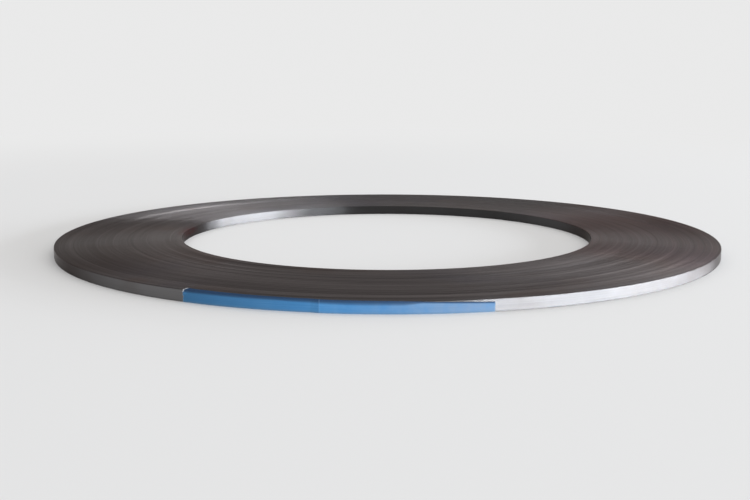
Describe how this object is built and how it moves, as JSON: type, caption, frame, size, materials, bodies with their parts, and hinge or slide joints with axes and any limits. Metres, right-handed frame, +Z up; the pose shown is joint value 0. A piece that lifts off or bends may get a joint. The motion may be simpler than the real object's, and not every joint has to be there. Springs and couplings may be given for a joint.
{
  "type": "steel coil",
  "caption": "Narrow slit steel strip wound tight into a thin round coil with a large open bore, its loose end taped down.",
  "frame": {"origin": "on the coil's axis, in the plane of its lower end", "axes": "+Z up along the coil's axis, out of the end with the folded tape; the tape and the strip's tail are on the +X side"},
  "size_m": [1.2085, 1.2078, 0.0183],
  "materials": {
    "steel": "bare rolled strip, dull dark ends with fine turns and a bright rim",
    "blue_tape": "blue adhesive tape, satin"
  },
  "bodies": {
    "root": {"coil": "steel", "tape": "blue_tape"}
  },
  "joints": []
}
